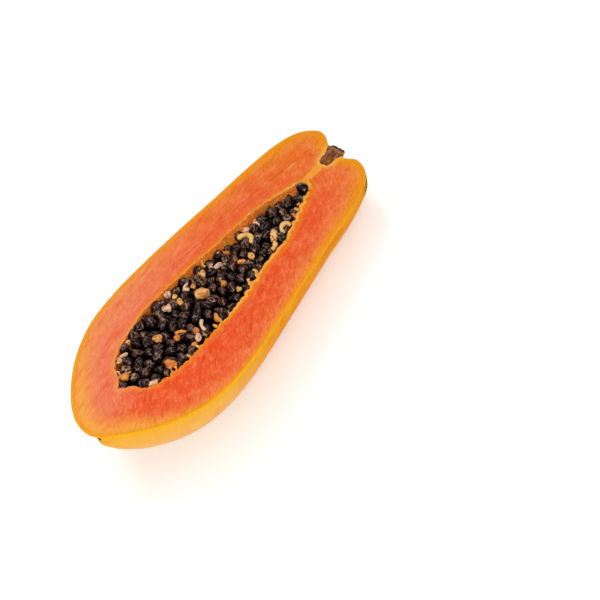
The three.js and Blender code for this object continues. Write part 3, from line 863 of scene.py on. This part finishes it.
def fruit():
    left = Side(LEFT_EDGE, HOLLOW_LEFT, 1, *LEFT_TEAR)
    right = Side(RIGHT_EDGE, HOLLOW_RIGHT, -1, *RIGHT_TEAR)
    edges, rims = np.r_[left.edge, right.edge], np.r_[left.rim, right.rim]
    skin_grid, drop = skin(left, right)
    wall_grid = wall(left, right)
    blocks = []
    for side, flip, last in ((left, True, 0), (right, False, -1)):
        grid, shades = cut_face(side, edges, rims)
        grid[:, -1, 2] = -drop
        wall_grid[:, last] = grid[:, 0]
        if side is right:
            del shades["inner"]
        blocks.append((grid, shades, FLESH, flip))
    blocks += [(skin_grid, {"edge": 0.0}, SKIN, True), (wall_grid, {"rim": 0.0}, WALL, False)]

    places, quads, kinds, start = [], [], [], 0
    attributes = {key: [] for key in OFF_FACE}
    for grid, shades, kind, flip in blocks:
        rows, columns = grid.shape[:2]
        places.append(grid.reshape(-1, 3))
        quads.append(grid_quads(rows, columns, start, flip))
        kinds += [kind] * len(quads[-1])
        for key, off in OFF_FACE.items():
            attributes[key].append(np.broadcast_to(shades.get(key, off), rows * columns))
        start += rows * columns
    places = np.concatenate(places)
    attributes = {key: np.concatenate(values) for key, values in attributes.items()}
    attributes["channel"] = channel_share(places) * smooth(places[:, 0], 199, 204)
    from_patch = norm((places - SHOULDER_PATCH) / SHOULDER_COLOUR_REACH, axis=1)
    attributes["patch"] = 1 - np.clip(from_patch, 0, 1)
    crater = 1 - smooth(norm(places[:, 1:], axis=1), *CRATER_FADES)
    attributes["crater"] = crater * smooth(places[:, 0], *CRATER_STARTS)
    materials = [skin_material(), flesh_material(), wall_material()]
    piece = mesh_object(
        "papaya_half", places, np.concatenate(quads), materials, attributes, kinds, weld=0.004)
    belongs(piece, "fruit", "fruit_half")


# Seeds

HOLLOW_SHARES = np.linspace(0, 1, FINE_CURVE)
HOLLOW_A, HOLLOW_B = spline(HOLLOW_LEFT, HOLLOW_SHARES), spline(HOLLOW_RIGHT, HOLLOW_SHARES)
HOLLOW_X = (HOLLOW_A[:, 0] + HOLLOW_B[:, 0]) / 2


def hollow_at(x):
    """The hollow's middle and half width at distances along the fruit."""
    middle = np.interp(x, HOLLOW_X, (HOLLOW_A[:, 1] + HOLLOW_B[:, 1]) / 2)
    half = np.interp(x, HOLLOW_X, (HOLLOW_A[:, 1] - HOLLOW_B[:, 1]) / 2)
    return middle, np.maximum(half, 0.01)


def heap_height(x, y):
    middle, half = hollow_at(x)
    share = LEFT_DIP_BLOSSOM + (LEFT_DIP_STEM - LEFT_DIP_BLOSSOM) * smooth(x, *LEFT_DIP_GROWS)
    dip = share * half * smooth((y - middle) / half, LEFT_DIP_STARTS, 1)
    return HEAP_LEVEL * smooth(half, 0, HEAP_LEVEL_REACH) - dip


def scattered_places(random):
    row_step = SEED_SPACING * np.sqrt(3) / 2
    start, end = HOLLOW_LEFT[0][0], HOLLOW_LEFT[-1][0]
    places = []
    for row in range(int((end - start) // row_step) + 1):
        for column in range(-SEED_COLUMNS, SEED_COLUMNS + 1):
            x = start + row * row_step + (2 * next(random) - 1) * SEED_SHIFT
            y = (column + (row % 2) / 2) * SEED_SPACING + (2 * next(random) - 1) * SEED_SHIFT
            middle, half = hollow_at(x)
            if abs(y - middle) < half - SEED_TO_WALL / 2:
                places.append((x, y))
    return np.array(places)


def pushes(places, others, rooms, share):
    """The moves that take each place out of the others' room."""
    apart = places[:, None] - others[None]
    distance = norm(apart, axis=2)
    crowded = (distance > 0) & (distance < rooms)
    lack = np.where(crowded, (rooms - distance) * share / np.where(crowded, distance, 1), 0)
    return (apart * lack[..., None]).sum(axis=1)


def settled(places):
    pale = [seed[:2] for seed in PALE_SEEDS]
    pale_rooms = [SEED_SPACING / 2 + seed[3] for seed in PALE_SEEDS]
    rim_share = np.linspace(0, 1, RIM_STEPS + 1)
    rims = [spline(rim, rim_share) for rim in (HOLLOW_LEFT, HOLLOW_RIGHT)]
    fixed = np.concatenate([pale, *rims])
    rooms = np.r_[pale_rooms, np.full(2 * len(rim_share), SEED_TO_WALL)][None]
    start, end = HOLLOW_LEFT[0][0], HOLLOW_LEFT[-1][0]
    places = places.copy()
    for _ in range(SETTLING_ROUNDS):
        places += pushes(places, places, SEED_ROOM, SEED_PUSH) + pushes(
            places, fixed, rooms, FIRM_PUSH)
        places[:, 0] = np.clip(places[:, 0], start + SEED_TO_TIP, end - SEED_TO_TIP)
        middle, half = hollow_at(places[:, 0])
        reach = np.maximum(half - SEED_TO_WALL, 0)
        places[:, 1] = np.clip(places[:, 1], middle - reach, middle + reach)
    return places


def turn(heading, lean, spin):
    about = ((heading, "Z"), (lean, "Y"), (spin, "Z"))
    first, second, third = (Matrix.Rotation(angle, 3, axis) for angle, axis in about)
    return np.array(first @ second @ third)


def dark_seeds(draw, layer):
    """Each seed's middle, half width, height and length, and its turn."""
    random = seeded_random(draw)
    seeds = []
    for x, y in settled(scattered_places(random)):
        z = heap_height(x, y) + (2 * next(random) - 1) * SEED_HEIGHT_SHIFT + layer
        size = SEED_SIZE_LEAST + SEED_SIZE_SPREAD * next(random)
        heading = 2 * np.pi * next(random)
        lean = np.pi * (0.25 + 0.5 * next(random))
        spin = 2 * np.pi * next(random)
        halves = SEED_HALF[[1, 2, 0]] * size
        seeds.append((np.array([x, y, z]), halves, turn(heading, lean, spin)))
    return seeds


def wrinkled(ball, random, count, stretch):
    """A net of ridges over a ball, mostly along its length: 0 in the valleys, 1 on the ridges."""
    nets = []
    for _ in range(2):
        field = np.zeros(len(ball))
        for _ in range(6):
            direction = random.normal(size=3)
            direction *= count * random.uniform(0.7, 1.3) / norm(direction)
            field += np.sin((ball * (1, 1, stretch)) @ direction + random.uniform(0, 2 * np.pi))
        nets.append(1 - np.clip(np.abs(field) / 1.7, 0, 1))
    return np.maximum(nets[0], 0.85 * nets[1])


def ovoids(name, seeds, material, make, *nodes, tints=None, slot="seeds", shade_factor=1.0):
    """A piece of wrinkled egg shapes, with a small opening at both ends. Each point knows its
    height on its ridge and on its seed, and its seed's tint, which is drawn unless given."""
    sides, rings, draw, (count, depth, stretch, lumpiness) = make
    random = np.random.default_rng(draw)
    if tints is None:
        tints = np.random.default_rng(draw + 1).beta(1.3, 2.4, len(seeds))
    around = np.linspace(0, 2 * np.pi, sides + 1)[None]
    down = np.linspace(0, np.pi, rings + 1)[1:-1, None]
    ball = np.stack([
        np.sin(down) * np.cos(around), np.sin(down) * np.sin(around), np.cos(down) + 0 * around,
    ], axis=-1).reshape(-1, 3)
    egg = 1 - EGG_TAPER * ball[:, 2]
    egg = np.c_[egg, egg, np.ones_like(egg)]
    places, faces, ridges, crowns = [], [], [], []
    for number, (middle, halves, rotation) in enumerate(seeds):
        ridge = wrinkled(ball, random, count, stretch)
        lumps = np.sin(2.2 * ball @ random.normal(size=3) + random.uniform(0, 2 * np.pi))
        radius = 1 + depth * (ridge - RIDGE_LEVEL) + lumpiness * lumps
        local = (ball * halves * radius[:, None] * egg) @ rotation.T
        places.append(local + middle)
        faces.append(grid_quads(rings - 1, sides + 1, number * len(ball)))
        ridges.append(ridge)
        crowns.append(local[:, 2] / local[:, 2].max())
    # A shade factor below 1 scales the ridges, crowns and tints down: painted shade for seeds deep
    # in the heap.
    shades = {
        "ridge": np.concatenate(ridges) * shade_factor, "crown": np.concatenate(crowns) * shade_factor,
        "tint": np.repeat(tints, len(ball)) * shade_factor,
    }
    piece = mesh_object(
        name, np.concatenate(places), np.concatenate(faces), [material], shades, weld=0.0005)
    belongs(piece, slot, *nodes)


def pale_seeds():
    seeds = []
    for x, y, length, width, heading, _ in PALE_SEEDS:
        z = heap_height(x, y) + width - PALE_SEED_SUNK + PALE_SEED_RAISED
        halves = np.array([width, width, length])
        seeds.append((np.array([x, y, z]), halves, turn(heading, np.pi / 2, 0)))
    tints = [seed[5] for seed in PALE_SEEDS]
    material = pale_seed_material("pale_seed")
    ovoids("pale_seeds", seeds, material, PALE_MAKE, "seed_mass", tints=tints)


def shreds():
    """Lines for the shreds of pulp, each from the hollow's rim inwards over the seeds."""
    random = np.random.default_rng(SHRED_DRAW)
    lines = []
    for _ in range(SHREDS):
        rim = HOLLOW_B if random.uniform() < SHREDS_ON_RIGHT else HOLLOW_A
        share = random.uniform(*SHRED_START)
        start, ahead = spline(rim[::200], [share, share + 0.01])
        middle, half = hollow_at(start[0])
        if half < SHRED_HALF_WIDTH_LEAST:
            continue
        run = unit(ahead - start)
        inwards = np.array([run[1], -run[0]])
        inwards *= np.sign(inwards[1] * (middle - start[1]))
        lean = run * random.uniform(*SHRED_LEAN)
        length = random.uniform(*SHRED_LENGTH)
        end = start + inwards * length
        rim_drop = -1.4 - heap_height(*end)
        line = [
            (*(start + inwards * 0.2), rim_drop), (*(start + inwards * 0.45 * length + lean), 1.9),
            (*(end + 0.4 * lean), 1.2),
        ]
        lines.append((line, random.uniform(*SHRED_RADIUS), random.uniform(*SHRED_TINT)))
    return lines


def threads():
    share = np.linspace(0, 1, THREAD_STEPS)
    around = np.linspace(0, 2 * np.pi, THREAD_SIDES + 1)
    taper = np.sqrt(np.clip(1 - (2 * share - 1) ** 6, 0, 1))[:, None]
    lines = THREADS + shreds()
    places, faces = [], []
    for number, (line, radius, _) in enumerate(lines):
        points = np.array([(x, y, heap_height(x, y) + up) for x, y, up in line])
        middle = spline(points, share)
        tangent = unit(np.gradient(middle, axis=0))
        side = unit(np.cross(tangent, (0, 0, 1)))[:, None]
        up = np.cross(side, tangent[:, None])
        lumps = 1 + 0.14 * np.sin(13 * share + number)[:, None]
        lumps = lumps + 0.12 * np.sin(3 * around + 7 * share[:, None] + number)
        ring = np.cos(around)[None, :, None] * side + np.sin(around)[None, :, None] * up
        tube = middle[:, None] + ring * (radius * taper * lumps)[..., None]
        faces.append(grid_quads(*lumps.shape, number * lumps.size))
        places.append(tube.reshape(-1, 3))
    tints = np.repeat([tint for _, _, tint in lines], lumps.size)
    piece = mesh_object(
        "seed_threads", np.concatenate(places), np.concatenate(faces),
        [pale_seed_material("seed_thread")], {"tint": tints, "ridge": np.ones(len(tints))},
        weld=0.0005)
    belongs(piece, "seeds")


def seed_bed():
    """A dark sheet under the lowest seeds: painted shade that shows in the gaps between them."""
    along = np.linspace(HOLLOW_X[0] + BED_END_GAP, HOLLOW_X[-1] - BED_END_GAP, BED_ROWS)[:, None]
    across = np.linspace(-BED_SHARE, BED_SHARE, BED_COLUMNS)[None]
    middle, half = hollow_at(along)
    x, y = along + 0 * across, middle + half * across
    z = heap_height(x, y) + np.maximum(BED_LAYER, -BED_STEEPNESS * half)
    places = np.c_[x.ravel(), y.ravel(), z.ravel()]
    places[:, 2] += relief(places[:, :2], *BED_RELIEF)
    quads = grid_quads(BED_ROWS, BED_COLUMNS, flip=True)
    belongs(mesh_object("seed_bed", places, quads, [bed_material()]), "seeds")


def seeds():
    dark = dark_seed_material()
    ovoids("dark_seeds", dark_seeds(SEED_DRAW, 0.0), dark, TOP_MAKE, "seed_mass")
    lower = [
        seed for seed in dark_seeds(LOWER_DRAW, LOWER_LAYER)
        if hollow_at(seed[0][0])[1] > LOWER_HALF_WIDTH_LEAST
    ]
    # The lower seeds dimmed: painted shade deep in the heap.
    ovoids("lower_seeds", lower, dark, LOWER_MAKE, shade_factor=LOWER_SHADE_FACTOR)
    pale_seeds()
    threads()
    seed_bed()


# Stem and blossom scar

def stem_stub():
    profile = spline(STUB_PROFILE, np.linspace(0, 1, STUB_STATIONS + 1))
    angle = np.linspace(0, 2 * np.pi, STUB_SIDES + 1)[None]
    out = profile[:, 1][:, None] + 0 * angle
    swell = 1 + STUB_KNOB_DEPTH * np.cos(STUB_KNOBS * angle + out / 3)
    swell += STUB_FISSURE_DEPTH * np.abs(np.sin(STUB_FISSURES * angle + 0.5 * np.sin(out))) - 0.03
    radius = np.maximum(profile[:, 0], 0)[:, None] * swell
    aside, up = radius * np.cos(angle), radius * np.sin(angle)
    cosine, sine = np.cos(STUB_HEADING), np.sin(STUB_HEADING)
    x = STUB_BASE[0] + out * cosine - aside * sine
    y = STUB_BASE[1] + out * sine + aside * cosine
    places = np.stack([x, y, up], -1).reshape(-1, 3)
    places[:, :2] += np.stack([relief(places, *bark) for bark in BARK_RELIEF], axis=1)
    top = STUB_CUT_LEVEL + relief(places[:, :2] * (0.4, 1.0), *STUB_CUT_RELIEF)
    cut = places[:, 2] > top
    places[:, 2] = np.where(cut, np.minimum(top, STUB_PROUD), places[:, 2])
    shades = {"outer": smooth(-places[:, 2], -0.3, 1.2), "out": out.ravel()}
    quads = grid_quads(STUB_STATIONS + 1, STUB_SIDES + 1)
    piece = mesh_object("stem_stub_bark", places, quads, [bark_material()], shades, weld=0.003)
    belongs(piece, "stem", "stem_stub")


def blossom_scar():
    scar = (SCAR_MIDDLE, SCAR_HALF, turn(0, SCAR_LEAN, 0))
    ovoids("blossom_scar", [scar], scar_material(), SCAR_MAKE, slot="stem")


# Stage

def camera():
    data = bpy.data.cameras.new("camera")
    data.lens, data.sensor_width = CAMERA_LENS, SENSOR_WIDTH
    scene.camera = placed("camera", data)
    turned = REST_POSE.to_3x3()
    axes = [(turned @ axis).normalized() for axis in (CAMERA_RIGHT, CAMERA_UP, CAMERA_BACK)]
    place = Matrix.Translation(REST_POSE @ CAMERA_PLACE * MM)
    scene.camera.matrix_world = place @ Matrix(axes).transposed().to_4x4()


def softbox(name, place, target, size, power):
    data = bpy.data.lights.new(name, "AREA")
    data.shape, data.size, data.energy = "DISK", size, power
    light = placed(name, data)
    light.location = place
    light.rotation_euler = (Vector(target) - light.location).to_track_quat("-Z", "Y").to_euler()


def lights():
    for values in SOFTBOXES:
        softbox(*values)
    world = bpy.data.worlds.new("studio")
    scene.world = world
    world.use_nodes = True
    background = world.node_tree.nodes["Background"]
    background.inputs["Color"].default_value = (1, 1, 1, 1)
    background.inputs["Strength"].default_value = SKY_STRENGTH


def floor():
    bpy.ops.mesh.primitive_plane_add(size=FLOOR_SIZE)
    ground = bpy.context.object
    ground.name = "floor"
    ground.data.materials.append(floor_material())


camera()
lights()
floor()
fruit()
seeds()
stem_stub()
blossom_scar()

scene.view_settings.view_transform = "Standard"
